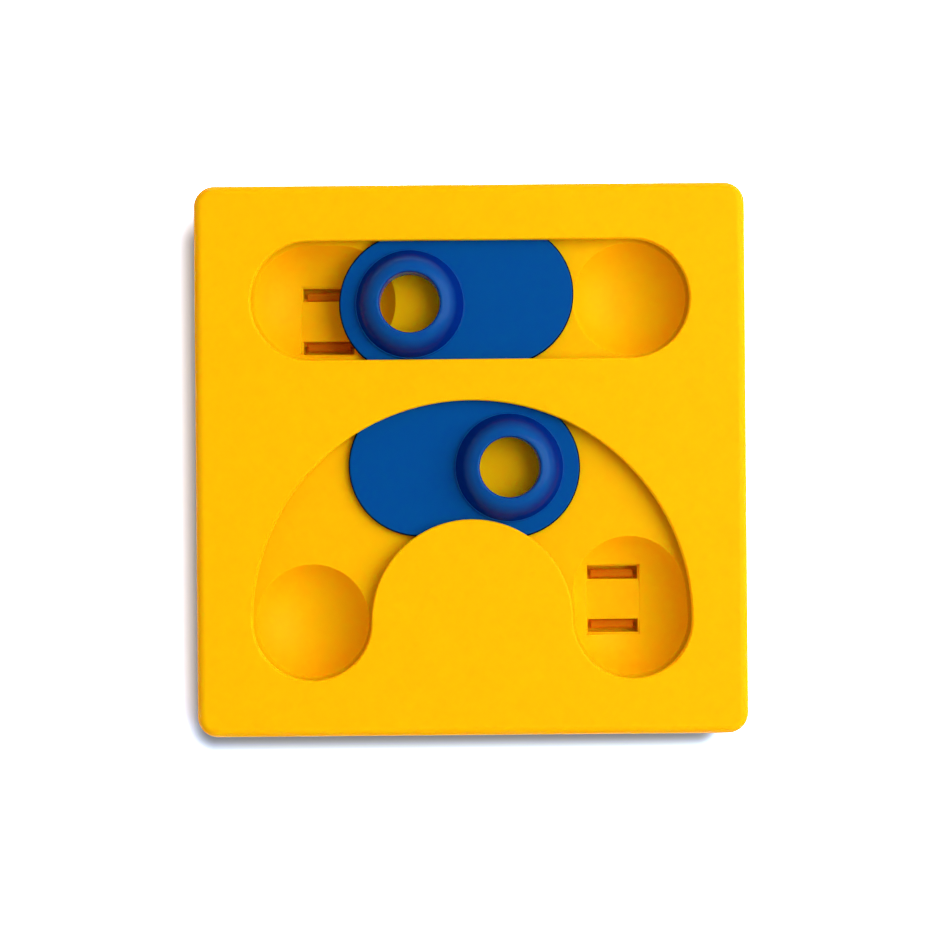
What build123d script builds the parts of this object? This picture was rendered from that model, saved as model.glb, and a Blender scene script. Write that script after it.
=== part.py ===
from build123d import *
import os
from math import atan2, cos, degrees, radians, sin, sqrt

# Sliding treat puzzle for a dog: a square yellow board with a straight channel and a half-circle
# channel, a treat pocket at both ends of each, and a blue slider with a ring knob in each channel.
# Origin: middle of the board on the surface that the feet rest on. +X right, +Y to the rear edge, +Z up.

# ---------------------------------------------------------------- driving dimensions, mm and degrees
# Channels and board
pocket_pitch = 140.0  # between the two pockets of one channel
groove_land = 2.0  # tray left between the two slider grooves where they come nearest
deck_border = 24.6  # deck outside the channel openings
board_corner_radius = 9.0
board_edge_radius = 4.0  # rounded upper edge of the board
opening_edge_radius = 0.8  # rounded upper edge of the channels
smallest_corner_radius = 0.5  # of anything nested inside the board's outline

# Shell
skin_thickness = 3.2
skirt_thickness = 3.0
shell_gap = 0.4  # round the tray, inside the skirt
cover_gap = 0.2  # round the cover, inside the skirt's rebate
rebate_width = 1.5  # step inside the skirt's lower edge that the cover sits in

# Sliders
knob_radius = 24.1
knob_play = 1.9  # each side, between the knob and the channel walls
plate_tuck = 5.1  # plate hidden under the deck, each side
plate_play = 2.9  # each side, between the plate and the groove walls
plate_thickness = 3.0
running_gap = 0.3  # smallest gap round a slider
plate_top_round = 1.2
plate_bottom_bevel = 0.5
slider_pitch = 40.9  # between the two end centres of the straight plate
straight_knob_x = -26.2
arc_knob_angle = 75.9  # about the centre of the half-circle channel
arc_slider_span = 32.6
arc_knob_lean = -1.4  # from the channel's centreline, inwards
arc_tail_lean = 1.3  # from the channel's centreline, outwards

# Knobs
hole_radius = 13.1
knob_height = 10.4
knob_wall = 2.2
knob_rim_round = 1.1
knob_crown_slope = 10.0  # of the dome where it leaves the rim round, degrees
knob_flank_slope = 66.0  # of the dome where it meets the lip, degrees
knob_crown_pull = 0.7  # how far the crown's slope reaches before the shoulder turns
knob_flank_pull = 0.6  # how far up the flank's slope reaches
knob_lip_width = 0.6
knob_lip_height = 1.0
knob_lip_round = 0.3
knob_fit = 0.1  # between the knob's tube and the plate
knob_screw_count = 3
knob_screw_start = 90.0  # direction of the first screw from the knob's centre, degrees
knob_screw_radius = 1.1
knob_screw_head_radius = 2.3
knob_screw_reach = 4.0  # into the knob
knob_post_radius = 2.5

# Tray
tray_floor = 2.2
rib_thickness = 1.8
pocket_inset = 1.3  # flat floor left between the channel wall and a pocket's rim
pocket_depth = 11.6
pocket_flat = 2.0  # radius of the flat at the bottom of a dished pocket
pocket_wall = 2.0
straight_pocket_stretch = 12.8
arc_pocket_stretch = 9.3  # degrees

# Windows and hooks
window_length = 22.5
window_width = 5.9
window_pitch = 23.65  # between the two windows of a pair
window_shift_x = 7.3  # from the pocket's centre towards the middle of the board
window_shift_y = 7.7
pad_margin = 0.8  # flat floor round a pair of windows
well_depth = 6.4
hook_width = 18.8
hook_stem = 2.4
hook_barb_reach = 1.5
hook_barb_height = 1.6
hook_inner_gap = 0.35  # between the barb and the inner wall of its well
hook_recess = 3.4  # hook tops below the pocket floor
hook_nose_round = 1.2  # of the long upper edges, to ride over the ledge
hook_catch_gap = 0.1
slot_width = 2.2  # mould slot in the cover below each barb

# Cover and feet
cover_thickness = 2.4
cover_air = 0.8  # between the cover and the window wells
cover_rib_height = 4.0
cover_rib_thickness = 1.6
cup_radius = 9.0  # ring on the cover below each round pocket
cup_thickness = 1.6
cup_air = 0.1  # between the cup and the pocket above it
post_radius = 5.0  # tubular posts between the cover and the channel floors
post_wall = 1.8
foot_drop = 2.0
foot_radius = 8.0
foot_inset = 22.0
foot_recess = 1.0
foot_recess_gap = 0.2
foot_stem_radius = 2.5
foot_head_radius = 3.6
foot_head_height = 1.5
foot_head_bevel = 0.9
foot_round = 0.6

# Tray screws
screw_inset = 12.0
screw_radius = 1.25
screw_play = 0.25
screw_bite = 1.6  # into the deck's skin
screw_head_radius = 2.6
screw_head_height = 1.6
screw_head_round = 0.8
screw_tip_bevel = 0.6
screw_cross = 0.7  # width and depth of the driver's cross
boss_radius = 3.8

# ---------------------------------------------------------------- sizes that follow
channel_half = knob_radius + knob_play
plate_half = channel_half + plate_tuck
groove_half = plate_half + plate_play
pocket_radius = channel_half - pocket_inset
pocket_dish = ((pocket_radius - pocket_flat) ** 2 + pocket_depth**2) / (2 * pocket_depth)
arc_radius = pocket_pitch / 2
channel_spacing = arc_radius + 2 * groove_half + groove_land
straight_y = channel_spacing / 2
arc_y = -channel_spacing / 2
board_x = pocket_pitch + 2 * (channel_half + deck_border)
board_y = channel_spacing + 2 * (channel_half + deck_border)

cover_bottom = foot_drop
cover_top = cover_bottom + cover_thickness
well_bottom = cover_top + cover_air
pocket_floor = well_bottom + well_depth
tray_top = pocket_floor + pocket_depth
plate_bottom = tray_top + running_gap
plate_top = plate_bottom + plate_thickness
deck_under = plate_top + running_gap
deck_top = deck_under + skin_thickness
tray_under = tray_top - tray_floor
hook_top = pocket_floor - hook_recess
hook_catch = hook_top - hook_barb_height
well_ledge = hook_catch - hook_catch_gap

knob_tube_radius = hole_radius + knob_wall
dome_foot = knob_radius - knob_lip_width
knob_post_ring = (knob_tube_radius + dome_foot - knob_wall) / 2


def on_arc(radius, angle):
    """Point at a radius and an angle in degrees about the centre of the half-circle channel."""
    return (radius * cos(radians(angle)), arc_y + radius * sin(radians(angle)))


# Rest places of the sliders. The straight slider's knob leans on the front wall of its channel, and the
# plate's other end leans on the rear wall of its groove.
straight_knob_at = (straight_knob_x, straight_y - (knob_play - running_gap))
straight_tail_rise = (knob_play - running_gap) + (plate_play - running_gap)
straight_tail_at = (
    straight_knob_x + sqrt(slider_pitch**2 - straight_tail_rise**2),
    straight_knob_at[1] + straight_tail_rise,
)
arc_knob_at = on_arc(arc_radius + arc_knob_lean, arc_knob_angle)
arc_tail_at = on_arc(arc_radius + arc_tail_lean, arc_knob_angle + arc_slider_span)


# ---------------------------------------------------------------- shared outlines and helpers
def prism(outline, low, high):
    """Upright solid over a flat outline, between two heights."""
    return Pos(0, 0, low) * extrude(outline, amount=high - low)


def disc(radius, at=(0, 0)):
    return Pos(*at) * Circle(radius)


def middle_of(a, b):
    return ((a[0] + b[0]) / 2, (a[1] + b[1]) / 2)


def straight_channel(half_width):
    """Outline of the straight channel, or of anything that runs beside it."""
    return Pos(0, straight_y) * SlotCenterToCenter(pocket_pitch, 2 * half_width)


def arc_channel(half_width, start=0.0, size=180.0):
    """Outline of the half-circle channel, or of a stretch of it."""
    return SlotArc(CenterArc((0, arc_y), arc_radius, start, size), 2 * half_width)


def board_outline(inset):
    """Outline of the board, or of a piece that nests that far inside it."""
    corner = max(board_corner_radius - inset, smallest_corner_radius)
    return RectangleRounded(board_x - 2 * inset, board_y - 2 * inset, corner)


def rear_right_pocket(half_width):
    return disc(half_width, (pocket_pitch / 2, straight_y))


def front_left_pocket(half_width):
    return disc(half_width, (-pocket_pitch / 2, arc_y))


def rear_left_pocket(half_width):
    """Pocket that runs a little way along the straight channel."""
    middle = Pos((straight_pocket_stretch - pocket_pitch) / 2, straight_y)
    return middle * SlotCenterToCenter(straight_pocket_stretch, 2 * half_width)


def front_right_pocket(half_width):
    """Pocket that runs a little way round the half-circle channel."""
    return arc_channel(half_width, 0.0, arc_pocket_stretch)


def pocket_rise(radius, grow):
    """How far a round pocket has risen at a radius from its centre, or its shell where grow is the wall."""
    dish = pocket_dish + grow
    return dish - sqrt(dish**2 - max(radius - pocket_flat, 0.0) ** 2)


def pocket_body(outline, grow):
    """A pocket's dished hollow, or its outer shell where grow is the wall."""
    dish = pocket_dish + grow
    low = pocket_floor - grow
    blank = prism(outline(pocket_flat + dish), low, low + 2 * dish)
    blank = fillet(blank.edges().group_by(Axis.Z)[0], dish)
    return blank & prism(board_outline(0), low, tray_top)


def window_pairs():
    """Centre of each pair of windows, with the pocket that it opens in."""
    x = pocket_pitch / 2 - window_shift_x
    return [
        ((-x, straight_y - window_shift_y), rear_left_pocket),
        ((x, arc_y + window_shift_y), front_right_pocket),
    ]


def windows():
    """Each window as (x, y, side): side is the way along Y from the window to the middle of its pair."""
    places = []
    for (x, y), pocket in window_pairs():
        for side in (-1, 1):
            places.append((x, y - side * window_pitch / 2, side))
    return places


def tray_screw_places():
    """Screws at the corners, halfway along three sides, on the island and between the channels."""
    x = board_x / 2 - screw_inset
    y = board_y / 2 - screw_inset
    bridge_x = pocket_pitch / 2
    arc_groove_top = arc_y + sqrt((arc_radius + groove_half) ** 2 - bridge_x**2)
    bridge_y = (arc_groove_top + straight_y - groove_half) / 2
    places = [(sx * x, sy * y) for sx in (-1, 1) for sy in (-1, 1)]
    places += [(sx * bridge_x, bridge_y) for sx in (-1, 1)]
    places += [(sx * x, 0) for sx in (-1, 1)]
    places += [(0, arc_y), (0, -y)]
    return places


def foot_places():
    x = board_x / 2 - foot_inset
    y = board_y / 2 - foot_inset
    return {
        "foot_front_left": (-x, -y),
        "foot_front_right": (x, -y),
        "foot_rear_left": (-x, y),
        "foot_rear_right": (x, y),
    }


def knob_screw_places(knob_at):
    places = []
    for k in range(knob_screw_count):
        angle = radians(knob_screw_start + k * 360 / knob_screw_count)
        places.append((knob_at[0] + knob_post_ring * cos(angle), knob_at[1] + knob_post_ring * sin(angle)))
    return places


# ---------------------------------------------------------------- casing
def make_top_deck():
    """Upper shell: deck with the two channel openings, skirt, and bosses for the tray screws."""
    shell = prism(board_outline(0), cover_bottom, deck_top)
    shell = fillet(shell.edges().group_by(Axis.Z)[-1], board_edge_radius)
    shell -= prism(board_outline(skirt_thickness), cover_bottom, deck_under)
    shell -= prism(board_outline(skirt_thickness - rebate_width), cover_bottom, cover_top)
    for opening in (straight_channel(channel_half), arc_channel(channel_half)):
        shell -= prism(opening, deck_under, deck_top)
    mid_border = (board_x - deck_border) / 2
    rims = [edge for edge in shell.edges().group_by(Axis.Z)[-1] if abs(edge.center().X) < mid_border]
    mid_border = (board_y - deck_border) / 2
    rims = [edge for edge in rims if abs(edge.center().Y) < mid_border]
    shell = fillet(rims, opening_edge_radius)
    for place in tray_screw_places():
        shell += prism(disc(boss_radius, place), tray_top, deck_under)
        shell -= prism(disc(screw_radius, place), tray_top, deck_under + screw_bite)
    return shell


def make_pocket_tray():
    """Lower shell: channel floors, slider guide ribs, four pockets and the hook windows."""
    inset = skirt_thickness + shell_gap
    tray = prism(board_outline(inset), tray_under, tray_top)
    edge_rib = board_outline(inset) - board_outline(inset + rib_thickness)
    ribs = prism(edge_rib, tray_top, deck_under)
    for channel in (straight_channel, arc_channel):
        guide = channel(groove_half + rib_thickness) - channel(groove_half)
        ribs += prism(guide, tray_top, deck_under)
    pad_x = window_length + 2 * pad_margin
    pad_y = window_pitch + window_width + 2 * pad_margin
    pockets = (rear_right_pocket, front_left_pocket, rear_left_pocket, front_right_pocket)
    for pocket in pockets:
        tray += pocket_body(pocket, pocket_wall)
    for centre, pocket in window_pairs():
        block = Pos(*centre) * Rectangle(pad_x + 2 * pocket_wall, pad_y + 2 * pocket_wall)
        tray += prism(block, well_bottom, tray_top)
    for pocket in pockets:
        tray -= pocket_body(pocket, 0.0)
    for centre, pocket in window_pairs():
        pad = (Pos(*centre) * Rectangle(pad_x, pad_y)) & pocket(pocket_radius)
        tray -= prism(pad, pocket_floor, tray_top)
    for x, y, side in windows():
        tray -= prism(Pos(x, y) * Rectangle(window_length, window_width), well_ledge, pocket_floor)
        narrow = hook_inner_gap + hook_barb_reach
        throat = Pos(x, y - side * narrow / 2) * Rectangle(window_length, window_width - narrow)
        tray -= prism(throat, well_bottom, well_ledge)
    tray += ribs
    for place in tray_screw_places():
        tray -= prism(disc(screw_radius + screw_play, place), tray_under, tray_top)
    return tray


def make_base_cover():
    """Bottom cover: plate with ribs, posts and cups below the tray, and four snap hooks."""
    inset = skirt_thickness - rebate_width + cover_gap
    cover = prism(board_outline(inset), cover_bottom, cover_top)
    rib_x = board_x - 2 * (skirt_thickness + shell_gap)
    rib_y = board_y - 2 * (skirt_thickness + shell_gap)
    cross = Rectangle(rib_x, cover_rib_thickness) + Rectangle(cover_rib_thickness, rib_y)
    cover += prism(cross, cover_top, cover_top + cover_rib_height)
    cup_inner = cup_radius - cup_thickness
    cup_top = pocket_floor - pocket_wall + pocket_rise(cup_inner, pocket_wall) - cup_air
    for place in ((pocket_pitch / 2, straight_y), (-pocket_pitch / 2, arc_y)):
        ring = disc(cup_radius, place) - disc(cup_inner, place)
        cover += prism(ring, cover_top, cup_top)
    for place in ((0, straight_y), (0, arc_y + arc_radius)):
        cover += prism(disc(post_radius, place), cover_top, tray_under)
        cover -= prism(disc(post_radius - post_wall, place), cover_top, tray_under)
    for centre, pocket in window_pairs():
        block = Pos(*centre) * Rectangle(hook_width, cover_rib_thickness)
        cover += prism(block, cover_top, well_bottom)
    for x, y, side in windows():
        # The stem stands in the outer part of the well; its barb points to the middle of the pair.
        inner_wall = y + side * window_width / 2
        barb_tip = inner_wall - side * hook_inner_gap
        barb_root = barb_tip - side * hook_barb_reach
        stem = Pos(x, barb_root - side * hook_stem / 2) * Rectangle(hook_width, hook_stem)
        barb = Pos(x, (barb_root + barb_tip) / 2) * Rectangle(hook_width, hook_barb_reach)
        hook = prism(stem, cover_top, hook_top) + prism(barb, hook_catch, hook_top)
        nose = hook.edges().filter_by(Axis.X).group_by(Axis.Z)[-1]
        cover += fillet(nose, hook_nose_round)
        slot = Pos(x, barb_root + side * slot_width / 2) * Rectangle(hook_width, slot_width)
        cover -= prism(slot, cover_bottom, cover_top)
    for place in foot_places().values():
        recess = disc(foot_radius + foot_recess_gap, place)
        cover -= prism(recess, cover_bottom, cover_bottom + foot_recess)
        cover -= prism(disc(foot_stem_radius, place), cover_bottom, cover_top)
    return cover


def make_foot(place):
    """Rubber foot: pad below the cover, stem through it and a head pulled through above it."""
    pad = prism(disc(foot_radius), 0, cover_bottom + foot_recess)
    pad = fillet(pad.edges().group_by(Axis.Z)[0], foot_round)
    stem = prism(disc(foot_stem_radius), cover_bottom + foot_recess, cover_top)
    head = prism(disc(foot_head_radius), cover_top, cover_top + foot_head_height)
    head = chamfer(head.edges().group_by(Axis.Z)[-1], foot_head_bevel)
    return Pos(*place, 0) * (pad + stem + head)


def make_tray_screws():
    """Self-tapping pan-head screws, driven from below through the tray into the deck's bosses."""
    tip = deck_under + screw_bite
    head_low = tray_under - screw_head_height
    screw = prism(disc(screw_radius), tray_under, tip)
    screw = chamfer(screw.edges().group_by(Axis.Z)[-1], screw_tip_bevel)
    head = prism(disc(screw_head_radius), head_low, tray_under)
    head = fillet(head.edges().group_by(Axis.Z)[0], screw_head_round)
    screw += head
    cross = Rectangle(screw_head_radius, screw_cross) + Rectangle(screw_cross, screw_head_radius)
    screw -= prism(cross, head_low, head_low + screw_cross)
    return Compound(children=[Pos(*place, 0) * screw for place in tray_screw_places()])


# ---------------------------------------------------------------- sliders
def countersink():
    """Cone of a countersunk head, wide end at z = 0."""
    rise = knob_screw_head_radius - knob_screw_radius
    return Pos(0, 0, rise / 2) * Cone(knob_screw_head_radius, knob_screw_radius, rise)


def finish_plate(outline, knob_at):
    """Slider plate over its outline, with the hole for the knob's tube and countersunk screw holes."""
    plate = prism(outline, plate_bottom, plate_top)
    plate = fillet(plate.edges().group_by(Axis.Z)[-1], plate_top_round)
    plate = chamfer(plate.edges().group_by(Axis.Z)[0], plate_bottom_bevel)
    plate -= prism(disc(knob_tube_radius + knob_fit, knob_at), plate_bottom, plate_top)
    for x, y in knob_screw_places(knob_at):
        plate -= prism(disc(knob_screw_radius, (x, y)), plate_bottom, plate_top)
        plate -= Pos(x, y, plate_bottom) * countersink()
    return plate


def make_straight_plate():
    """Plate with two round ends, through its two end centres at rest."""
    slot = SlotCenterPoint(middle_of(straight_knob_at, straight_tail_at), straight_tail_at, 2 * plate_half)
    return finish_plate(slot, straight_knob_at)


def make_arc_plate():
    """Curved plate of the channel's own radius, through its two end centres at rest."""
    dx = arc_tail_at[0] - arc_knob_at[0]
    dy = arc_tail_at[1] - arc_knob_at[1]
    chord = sqrt(dx**2 + dy**2)
    drop = sqrt(arc_radius**2 - (chord / 2) ** 2)
    middle = middle_of(arc_knob_at, arc_tail_at)
    centre = (middle[0] - drop * dy / chord, middle[1] + drop * dx / chord)
    start = degrees(atan2(arc_knob_at[1] - centre[1], arc_knob_at[0] - centre[0]))
    end = degrees(atan2(arc_tail_at[1] - centre[1], arc_tail_at[0] - centre[0]))
    slot = SlotArc(CenterArc(centre, arc_radius, start, end - start), 2 * plate_half)
    return finish_plate(slot, arc_knob_at)


def dome_line(start, end):
    """Curve down from the crown's slope at its start to the flank's slope at its end."""
    crown, flank = radians(knob_crown_slope), radians(knob_flank_slope)
    dx, drop = end[0] - start[0], start[1] - end[1]
    turn = sin(flank - crown)
    crown_reach = knob_crown_pull * (dx * sin(flank) - drop * cos(flank)) / turn
    flank_reach = knob_flank_pull * (drop * cos(crown) - dx * sin(crown)) / turn
    return Bezier(
        start,
        (start[0] + crown_reach * cos(crown), start[1] - crown_reach * sin(crown)),
        (end[0] - flank_reach * cos(flank), end[1] + flank_reach * sin(flank)),
        end,
    )


def make_knob(knob_at):
    """Hollow ring knob: domed ring with a lip at its foot, a tube down through the plate, and screw posts."""
    rim = (hole_radius + knob_rim_round, knob_height - knob_rim_round)
    crown = radians(knob_crown_slope)
    dome_start = (rim[0] + knob_rim_round * sin(crown), rim[1] + knob_rim_round * cos(crown))
    dome_end = (dome_foot, knob_lip_height)
    lip_end = knob_radius - knob_lip_round
    outer_line = [
        Line((hole_radius, -plate_thickness), (hole_radius, rim[1])),
        CenterArc(rim, knob_rim_round, 180, -90 - knob_crown_slope),
        dome_line(dome_start, dome_end),
        Line(dome_end, (lip_end, knob_lip_height)),
        CenterArc((lip_end, knob_lip_height - knob_lip_round), knob_lip_round, 90, -90),
        Line((knob_radius, knob_lip_height - knob_lip_round), (knob_radius, 0)),
        Line((knob_radius, 0), (knob_tube_radius, 0)),
        Line((knob_tube_radius, 0), (knob_tube_radius, -plate_thickness)),
        Line((knob_tube_radius, -plate_thickness), (hole_radius, -plate_thickness)),
    ]
    body = revolve(Plane.XZ * make_face(outer_line), Axis.Z)

    cave_top = knob_height - knob_wall
    cave_foot = dome_foot - knob_wall
    cave_line = [
        Line((knob_tube_radius, 0), (knob_tube_radius, cave_top)),
        dome_line((knob_tube_radius, cave_top), (cave_foot, 0)),
        Line((cave_foot, 0), (knob_tube_radius, 0)),
    ]
    cave = revolve(Plane.XZ * make_face(cave_line), Axis.Z)
    knob = body - cave
    for x, y in knob_screw_places((0, 0)):
        knob += prism(disc(knob_post_radius, (x, y)), 0, knob_height) & cave
    for x, y in knob_screw_places((0, 0)):
        knob -= prism(disc(knob_screw_radius, (x, y)), 0, knob_screw_reach)
    return Pos(*knob_at, plate_top) * knob


def make_knob_screws(knob_at):
    """Countersunk screws, flush with the underside of the plate."""
    screw = countersink() + prism(disc(knob_screw_radius), 0, plate_thickness + knob_screw_reach)
    cross = Rectangle(knob_screw_head_radius, screw_cross) + Rectangle(screw_cross, knob_screw_head_radius)
    screw -= prism(cross, 0, screw_cross)
    return Compound(children=[Pos(x, y, plate_bottom) * screw for x, y in knob_screw_places(knob_at)])


# ---------------------------------------------------------------- files
def make_nodes():
    nodes = {
        "top_deck": make_top_deck(),
        "pocket_tray": make_pocket_tray(),
        "base_cover": make_base_cover(),
        "tray_screws": make_tray_screws(),
        "straight_slider_plate": make_straight_plate(),
        "straight_slider_knob": make_knob(straight_knob_at),
        "straight_knob_screws": make_knob_screws(straight_knob_at),
        "arc_slider_plate": make_arc_plate(),
        "arc_slider_knob": make_knob(arc_knob_at),
        "arc_knob_screws": make_knob_screws(arc_knob_at),
    }
    for name, place in foot_places().items():
        nodes[name] = make_foot(place)
    return nodes


os.makedirs("parts", exist_ok=True)
for name, shape in make_nodes().items():
    export_step(shape, f"parts/{name}.step")
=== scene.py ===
from math import cos, radians, sin

import bpy
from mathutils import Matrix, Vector


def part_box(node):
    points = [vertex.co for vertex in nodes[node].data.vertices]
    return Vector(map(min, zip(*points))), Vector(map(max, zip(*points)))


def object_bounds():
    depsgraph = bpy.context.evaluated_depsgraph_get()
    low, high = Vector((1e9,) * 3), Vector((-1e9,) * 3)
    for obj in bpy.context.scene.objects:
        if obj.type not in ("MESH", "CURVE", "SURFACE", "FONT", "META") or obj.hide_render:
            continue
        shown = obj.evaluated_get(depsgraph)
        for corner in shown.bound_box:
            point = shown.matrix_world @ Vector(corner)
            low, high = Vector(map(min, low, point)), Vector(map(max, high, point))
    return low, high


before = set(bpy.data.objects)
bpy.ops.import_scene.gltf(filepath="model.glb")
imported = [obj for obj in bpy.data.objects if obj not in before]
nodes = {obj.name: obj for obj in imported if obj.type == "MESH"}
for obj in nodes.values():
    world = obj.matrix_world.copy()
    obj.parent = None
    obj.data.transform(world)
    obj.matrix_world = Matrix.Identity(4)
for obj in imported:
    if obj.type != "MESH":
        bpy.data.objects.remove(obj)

cad_low, cad_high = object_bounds()


# ---------------------------------------------------------------- yellow casing
# Deck, pocket tray and base cover: three injection mouldings in one opaque golden-yellow plastic.
# The tool steel was finely spark-eroded, so the skin is satin with a grain that only shows close up.
def group_socket(group, name, kind, way, value=None):
    """Adds a socket to a node group, with its starting value."""
    socket = group.interface.new_socket(name=name, in_out=way, socket_type=kind)
    if value is not None:
        socket.default_value = value


def moulded_skin_group():
    """Colour drift, satin variation and eroded grain of a moulded plastic skin."""
    group = bpy.data.node_groups.new("moulded_skin", "ShaderNodeTree")
    group_socket(group, "Colour", "NodeSocketColor", "INPUT", (1, 1, 1, 1))
    group_socket(group, "Drift Colour", "NodeSocketColor", "INPUT", (1, 1, 1, 1))
    group_socket(group, "Drift", "NodeSocketFloat", "INPUT", 0.1)
    group_socket(group, "Roughness Low", "NodeSocketFloat", "INPUT", 0.3)
    group_socket(group, "Roughness High", "NodeSocketFloat", "INPUT", 0.4)
    group_socket(group, "Grain Scale", "NodeSocketFloat", "INPUT", 2500.0)
    group_socket(group, "Colour", "NodeSocketColor", "OUTPUT")
    group_socket(group, "Roughness", "NodeSocketFloat", "OUTPUT")
    group_socket(group, "Height", "NodeSocketFloat", "OUTPUT")
    n, link = group.nodes, group.links
    given, result = n.new("NodeGroupInput"), n.new("NodeGroupOutput")
    place = n.new("ShaderNodeTexCoord")

    cloud = n.new("ShaderNodeTexNoise")
    cloud.inputs["Scale"].default_value = 14.0
    cloud.inputs["Detail"].default_value = 2.0
    link.new(place.outputs["Object"], cloud.inputs["Vector"])
    share = n.new("ShaderNodeMath")
    share.operation = "MULTIPLY"
    link.new(cloud.outputs["Fac"], share.inputs[0])
    link.new(given.outputs["Drift"], share.inputs[1])
    tint = n.new("ShaderNodeMix")
    tint.data_type = "RGBA"
    link.new(share.outputs[0], tint.inputs["Factor"])
    link.new(given.outputs["Colour"], tint.inputs["A"])
    link.new(given.outputs["Drift Colour"], tint.inputs["B"])
    link.new(tint.outputs["Result"], result.inputs["Colour"])

    smear = n.new("ShaderNodeTexNoise")
    smear.inputs["Scale"].default_value = 45.0
    smear.inputs["Detail"].default_value = 4.0
    link.new(place.outputs["Object"], smear.inputs["Vector"])
    satin = n.new("ShaderNodeMapRange")
    satin.inputs["From Min"].default_value = 0.3
    satin.inputs["From Max"].default_value = 0.7
    link.new(smear.outputs["Fac"], satin.inputs["Value"])
    link.new(given.outputs["Roughness Low"], satin.inputs["To Min"])
    link.new(given.outputs["Roughness High"], satin.inputs["To Max"])
    link.new(satin.outputs["Result"], result.inputs["Roughness"])

    grain = n.new("ShaderNodeTexNoise")
    grain.inputs["Detail"].default_value = 2.0
    link.new(place.outputs["Object"], grain.inputs["Vector"])
    link.new(given.outputs["Grain Scale"], grain.inputs["Scale"])
    link.new(grain.outputs["Fac"], result.inputs["Height"])
    return group


moulded_skin = moulded_skin_group()


def moulded_plastic(
    name, colour, drift_colour, drift, roughness, grain_scale, grain_depth, specular, glow=None
):
    """A finish with the shared skin. Its colour wanders by drift towards the drift colour.

    Roughness holds the skin's lowest and highest, and glow how far red, green and blue light
    spread inside the material.
    """
    material = bpy.data.materials.new(name)
    material.use_nodes = True
    n, link = material.node_tree.nodes, material.node_tree.links
    shader = n["Principled BSDF"]
    shader.inputs["IOR"].default_value = 1.49
    shader.inputs["Specular IOR Level"].default_value = specular
    if glow:
        shader.inputs["Subsurface Weight"].default_value = 1.0
        shader.inputs["Subsurface Radius"].default_value = glow
        shader.inputs["Subsurface Scale"].default_value = 1.0
    skin = n.new("ShaderNodeGroup")
    skin.node_tree = moulded_skin
    skin.inputs["Colour"].default_value = (*colour, 1)
    skin.inputs["Drift Colour"].default_value = (*drift_colour, 1)
    skin.inputs["Drift"].default_value = drift
    skin.inputs["Roughness Low"].default_value = roughness[0]
    skin.inputs["Roughness High"].default_value = roughness[1]
    skin.inputs["Grain Scale"].default_value = grain_scale
    bump = n.new("ShaderNodeBump")
    bump.inputs["Strength"].default_value = 0.5
    bump.inputs["Distance"].default_value = grain_depth
    link.new(skin.outputs["Colour"], shader.inputs["Base Color"])
    link.new(skin.outputs["Roughness"], shader.inputs["Roughness"])
    link.new(skin.outputs["Height"], bump.inputs["Height"])
    link.new(bump.outputs["Normal"], shader.inputs["Normal"])
    return material


def dress(node, material):
    """Gives a CAD node its finish."""
    materials = nodes[node].data.materials
    materials.clear()
    materials.append(material)


yellow_plastic = moulded_plastic(
    "yellow_plastic",
    colour=(0.92, 0.56, 0.001),
    drift_colour=(0.91, 0.525, 0.001),
    drift=0.12,
    roughness=(0.42, 0.5),
    grain_scale=2600.0,
    grain_depth=0.00003,
    specular=0.025,
    glow=(0.0022, 0.0005, 0.0001),
)


def overlay(material, mask, tint):
    """Lays a tint over the finish's colour where the mask is 1."""
    n, link = material.node_tree.nodes, material.node_tree.links
    base = n["Principled BSDF"].inputs["Base Color"]
    mix = n.new("ShaderNodeMix")
    mix.data_type = "RGBA"
    mix.inputs["B"].default_value = (*tint, 1)
    link.new(mask, mix.inputs["Factor"])
    link.new(base.links[0].from_socket, mix.inputs["A"])
    link.new(mix.outputs["Result"], base)


def vertical_part(material, source, socket):
    """Z of a place or a direction."""
    n, link = material.node_tree.nodes, material.node_tree.links
    split = n.new("ShaderNodeSeparateXYZ")
    link.new(n.new(source).outputs[socket], split.inputs["Vector"])
    return split.outputs["Z"]


def paint_shade_by_height(material, tint, clear_at, tint_at):
    """Paints shade on a finish from one height to another, as inside a well or under an edge."""
    n, link = material.node_tree.nodes, material.node_tree.links
    depth = n.new("ShaderNodeMapRange")
    depth.interpolation_type = "SMOOTHSTEP"
    depth.inputs["From Min"].default_value = clear_at
    depth.inputs["From Max"].default_value = tint_at
    link.new(vertical_part(material, "ShaderNodeTexCoord", "Object"), depth.inputs["Value"])
    overlay(material, depth.outputs["Result"], tint)


def paint_shade_on_slopes(material, tint, level=0.98, steep=0.72):
    """Paints shade on a finish where it turns down from level, but not on upright walls.

    All four limits are upward parts of the normal: 1 lies flat and 0 stands upright.
    """
    upright, near_upright = 0.1, 0.3
    n, link = material.node_tree.nodes, material.node_tree.links
    slope = n.new("ShaderNodeValToRGB")
    stops = slope.color_ramp.elements
    stops[0].position, stops[1].position = upright, level
    stops[0].color = stops[1].color = (0, 0, 0, 1)
    for position in (near_upright, steep):
        stops.new(position).color = (1, 1, 1, 1)
    link.new(vertical_part(material, "ShaderNodeNewGeometry", "Normal"), slope.inputs["Fac"])
    overlay(material, slope.outputs["Color"], tint)


def with_painted_shades(material, name, painted_shades):
    """A copy of a finish for one piece, with its own painted shades, each over the one before."""
    copy = material.copy()
    copy.name = name
    for add, *values in painted_shades:
        add(copy, *values)
    return copy
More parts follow.
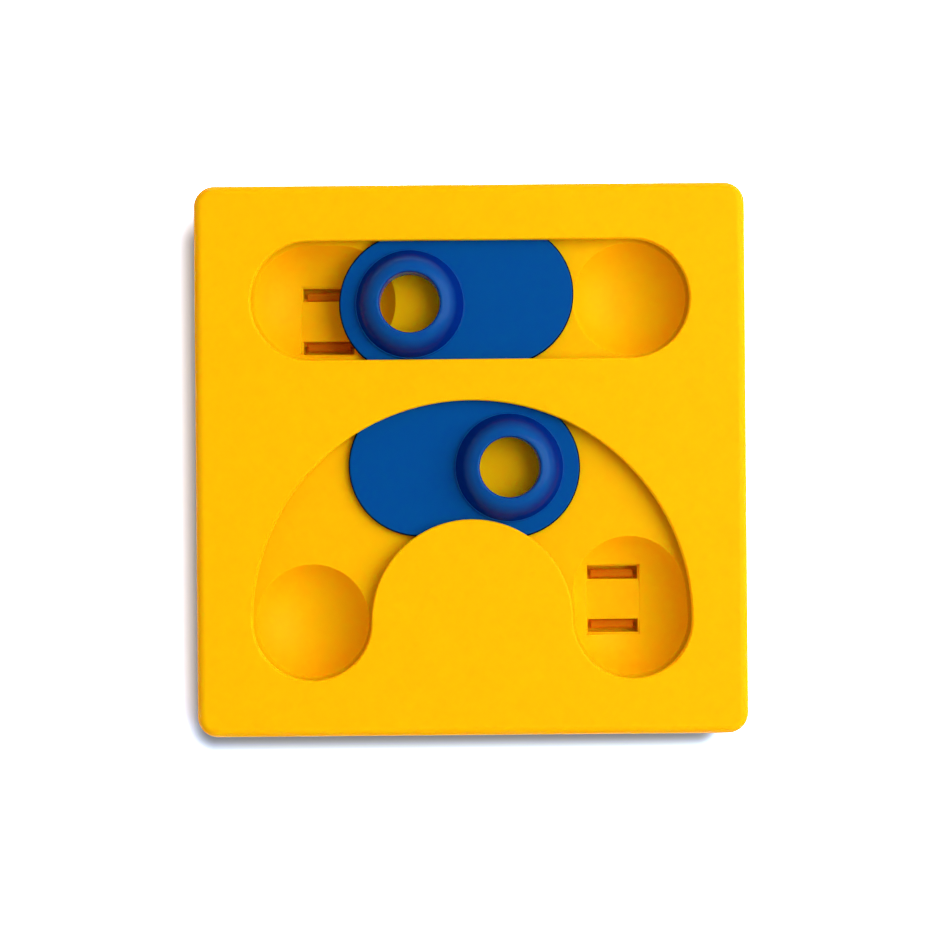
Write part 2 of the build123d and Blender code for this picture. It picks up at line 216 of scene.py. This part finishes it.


# Painted shade: each piece is deepened where it turns down from level, and the tray below the deck's
# top is painted a shade deeper. The wells and the cover's inside get an amber painted shade for light
# that only reaches them from wall to wall, and the hook tops a dark amber painted shade.
# Heights are from the floor.
deck_slope_shade_yellow = (0.93, 0.475, 0.001)
slope_shade_yellow = (0.95, 0.435, 0.001)
tray_shade_yellow = (0.93, 0.54, 0.001)
well_shade_amber = (0.99, 0.45, 0.001)
hook_top_shade_amber = (0.60, 0.21, 0.001)
deck_top = cad_low.z + 0.030
channel_floor = 0.0232
pocket_floor = 0.0116
hook_tops = 0.0082
cover_wall = 0.0024
cover_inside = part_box("base_cover")[0].z + cover_wall
painted_shades_by_part = {
    "top_deck": [(paint_shade_on_slopes, deck_slope_shade_yellow)],
    "pocket_tray": [
        (paint_shade_by_height, tray_shade_yellow, deck_top, channel_floor),
        (paint_shade_on_slopes, slope_shade_yellow),
        (paint_shade_by_height, well_shade_amber, pocket_floor - 0.0001, pocket_floor - 0.0006),
    ],
    "base_cover": [
        (paint_shade_on_slopes, slope_shade_yellow),
        (paint_shade_by_height, well_shade_amber, cover_inside - 0.0003, cover_inside + 0.0003),
        (paint_shade_by_height, hook_top_shade_amber, hook_tops - 0.0012, hook_tops - 0.0003),
    ],
}
for part, painted_shades in painted_shades_by_part.items():
    dress(part, with_painted_shades(yellow_plastic, "yellow_plastic_painted_shade_of_" + part, painted_shades))


# ---------------------------------------------------------------- sliders
# Two blue mouldings each: a plate that rides under the deck and a hollow ring knob screwed down on it.
# The plates are satin, and the knobs were polished in the tool, so they shine a little more.
blue_glow = (0.0001, 0.0002, 0.0008)
plate_plastic = moulded_plastic(
    "blue_plate_plastic",
    colour=(0.0002, 0.089, 0.345),
    drift_colour=(0.0003, 0.097, 0.365),
    drift=0.3,
    roughness=(0.36, 0.44),
    grain_scale=2200.0,
    grain_depth=0.00002,
    specular=0.025,
    glow=blue_glow,
)
knob_plastic = moulded_plastic(
    "blue_knob_plastic",
    colour=(0.0003, 0.085, 0.34),
    drift_colour=(0.0004, 0.092, 0.36),
    drift=0.3,
    roughness=(0.16, 0.22),
    grain_scale=2600.0,
    grain_depth=0.000006,
    specular=0.07,
    glow=blue_glow,
)
# Painted shade: a dark line on each plate's top edge, where shade falls at its rim, easing to a side
# wall painted a deeper blue, and navy flanks on the knobs where they slope down.
edge_line_shade_blue = (0.0, 0.003, 0.010)
side_wall_shade_blue = (0.0003, 0.062, 0.28)
knob_flank_shade_blue = (0.0, 0.016, 0.18)
plate_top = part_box("arc_slider_plate")[1].z
paint_shade_by_height(plate_plastic, edge_line_shade_blue, plate_top - 0.0001, plate_top - 0.0002)
paint_shade_by_height(plate_plastic, side_wall_shade_blue, plate_top - 0.0010, plate_top - 0.0014)
# Painted shade: the knob's flanks turn navy where they slope down from the crown.
paint_shade_on_slopes(knob_plastic, knob_flank_shade_blue, level=0.90, steep=0.60)
for part in ("straight_slider_plate", "arc_slider_plate"):
    dress(part, plate_plastic)
for part in ("straight_slider_knob", "arc_slider_knob"):
    dress(part, knob_plastic)


# ---------------------------------------------------------------- rubber feet
# Four dark rubber buttons pulled through holes in the base cover.
# They are moulded with a matt skin.
foot_rubber = moulded_plastic(
    "foot_rubber",
    colour=(0.022, 0.022, 0.024),
    drift_colour=(0.04, 0.04, 0.04),
    drift=0.5,
    roughness=(0.7, 0.85),
    grain_scale=1500.0,
    grain_depth=0.00004,
    specular=0.3,
)
for part in nodes:
    if part.startswith("foot_"):
        dress(part, foot_rubber)


# ---------------------------------------------------------------- screws
# Zinc-plated steel: self-tapping ones that hold the tray, and countersunk ones in the knobs.
# They share the moulded skin, as plating drifts and dulls in the same soft patches.
zinc = moulded_plastic(
    "zinc_steel",
    colour=(0.55, 0.55, 0.56),
    drift_colour=(0.42, 0.42, 0.45),
    drift=0.6,
    roughness=(0.3, 0.42),
    grain_scale=900.0,
    grain_depth=0.00001,
    specular=0.5,
)
zinc.node_tree.nodes["Principled BSDF"].inputs["Metallic"].default_value = 1.0
for part in ("tray_screws", "straight_knob_screws", "arc_knob_screws"):
    dress(part, zinc)


# ---------------------------------------------------------------- floor
# White studio sweep. It keeps the board's shadow, and reads as pure white away from it.
# A soft painted shadow in the board's outline, offset to the near left, darkens it next to the board.
# Bounced light meets a plain pale floor, and the whiter one is only what is seen.
def seen_sharply(tree):
    """1 on rays from the lens and on those that gloss and glass throw, 0 on the rest."""
    path = tree.nodes.new("ShaderNodeLightPath")
    sharp = path.outputs["Is Camera Ray"]
    for ray in ("Is Glossy Ray", "Is Transmission Ray"):
        either = tree.nodes.new("ShaderNodeMath")
        either.operation = "MAXIMUM"
        tree.links.new(sharp, either.inputs[0])
        tree.links.new(path.outputs[ray], either.inputs[1])
        sharp = either.outputs[0]
    return sharp


def floor_material(board, corner, shade_at, shade_width, shade, white, bounce):
    """White, with a soft painted contact shadow in the board's own rounded outline, offset to the near
    left.
    """
    material = bpy.data.materials.new("studio_floor")
    material.use_nodes = True
    n, link = material.node_tree.nodes, material.node_tree.links
    n.remove(n["Principled BSDF"])

    def vector_step(operation, vector, value=None):
        step = n.new("ShaderNodeVectorMath")
        step.operation = operation
        link.new(vector, step.inputs[0])
        if value is not None:
            step.inputs[1].default_value = value
        return step.outputs["Value" if operation == "LENGTH" else "Vector"]

    straight = board / 2 - corner
    place = n.new("ShaderNodeTexCoord").outputs["Object"]
    from_shade = vector_step("SUBTRACT", place, (*shade_at, 0))
    past_corner = vector_step("SUBTRACT", vector_step("ABSOLUTE", from_shade), (straight, straight, 0))
    distance = vector_step("LENGTH", vector_step("MAXIMUM", past_corner, (0, 0, 0)))
    fade = n.new("ShaderNodeMapRange")
    fade.interpolation_type = "SMOOTHSTEP"
    fade.inputs["From Min"].default_value = corner - shade_width / 2
    fade.inputs["From Max"].default_value = corner + shade_width / 2
    link.new(distance, fade.inputs["Value"])
    tone = n.new("ShaderNodeMix")
    tone.data_type = "RGBA"
    tone.inputs["A"].default_value = (*shade, 1)
    tone.inputs["B"].default_value = (*white, 1)
    link.new(fade.outputs["Result"], tone.inputs["Factor"])

    seen = n.new("ShaderNodeBsdfDiffuse")
    link.new(tone.outputs["Result"], seen.inputs["Color"])
    other = n.new("ShaderNodeBsdfDiffuse")
    other.inputs["Color"].default_value = (*bounce, 1)
    mix = n.new("ShaderNodeMixShader")
    link.new(seen_sharply(material.node_tree), mix.inputs["Fac"])
    link.new(other.outputs[0], mix.inputs[1])
    link.new(seen.outputs[0], mix.inputs[2])
    link.new(mix.outputs[0], n["Material Output"].inputs["Surface"])
    return material


sweep_side = 30.0
bpy.ops.mesh.primitive_plane_add(size=sweep_side, location=(0, 0, cad_low.z))
floor = bpy.context.object
floor.name = "studio_floor"
floor.data.materials.append(
    floor_material(
        board=cad_high.x - cad_low.x,
        corner=0.012,
        shade_at=(-0.0072, -0.0108),
        shade_width=0.015,
        shade=(0.28, 0.36, 0.45),
        white=(2.5, 3.4, 4.5),
        bounce=(0.8, 0.8, 0.8),
    )
)


# ---------------------------------------------------------------- light
# One very large soft box on the right, in a room with warm white walls and a dimmer ceiling.
# The lens, glass and gloss see the room as plain white.
wall_colour = (1.3, 1.0, 1.0)
wall_strength = 0.75
ceiling_strength = 0.26
world = bpy.data.worlds.new("studio_room")
world.use_nodes = True
bpy.context.scene.world = world
w, link = world.node_tree.nodes, world.node_tree.links
split = w.new("ShaderNodeSeparateXYZ")
link.new(w.new("ShaderNodeTexCoord").outputs["Generated"], split.inputs["Vector"])
wall_to_ceiling = w.new("ShaderNodeMapRange")
wall_to_ceiling.inputs["To Min"].default_value = wall_strength
wall_to_ceiling.inputs["To Max"].default_value = ceiling_strength
link.new(split.outputs["Z"], wall_to_ceiling.inputs["Value"])
walls = w["Background"]
walls.inputs["Color"].default_value = (*wall_colour, 1)
link.new(wall_to_ceiling.outputs["Result"], walls.inputs["Strength"])
backdrop = w.new("ShaderNodeBackground")
backdrop.inputs["Color"].default_value = (1, 1, 1, 1)
room = w.new("ShaderNodeMixShader")
link.new(seen_sharply(world.node_tree), room.inputs["Fac"])
link.new(walls.outputs[0], room.inputs[1])
link.new(backdrop.outputs[0], room.inputs[2])
link.new(room.outputs[0], w["World Output"].inputs["Surface"])


def soft_box(name, azimuth, elevation, distance, size, power):
    """Area lamp that looks at the middle of the board, azimuth counted from +X towards +Y."""
    flat = cos(radians(elevation))
    way = Vector((flat * cos(radians(azimuth)), flat * sin(radians(azimuth)), sin(radians(elevation))))
    light = bpy.data.lights.new(name, "AREA")
    light.shape = "SQUARE"
    light.size = size
    light.energy = power
    lamp = bpy.data.objects.new(name, light)
    bpy.context.scene.collection.objects.link(lamp)
    lamp.location = way * distance
    lamp.rotation_euler = (-way).to_track_quat("-Z", "Y").to_euler()


soft_box("key_box", azimuth=12, elevation=46, distance=2.6, size=2.6, power=82)


# ---------------------------------------------------------------- camera
# Straight above the board, a little to the left of and in front of its middle.
# The shift brings the board's middle back to its place in the frame.
camera_height = 0.88
camera_at = (-0.012, -0.012)
camera_turn = -0.49  # degrees
frame_width = 0.4100  # at the height of the deck
sensor = 36.0
picture = 940  # pixels a side
board_middle_px = (471.4, 459.9)
lens = bpy.data.cameras.new("camera")
lens.sensor_width = sensor
lens.lens = sensor * (camera_height - deck_top) / frame_width
lens.shift_x = -camera_at[0] / frame_width + (picture / 2 - board_middle_px[0]) / picture
lens.shift_y = -camera_at[1] / frame_width - (picture / 2 - board_middle_px[1]) / picture
camera = bpy.data.objects.new("camera", lens)
bpy.context.scene.collection.objects.link(camera)
camera.location = (*camera_at, camera_height)
camera.rotation_euler = (0, 0, radians(camera_turn))
bpy.context.scene.camera = camera

bpy.context.scene.view_settings.view_transform = "Standard"
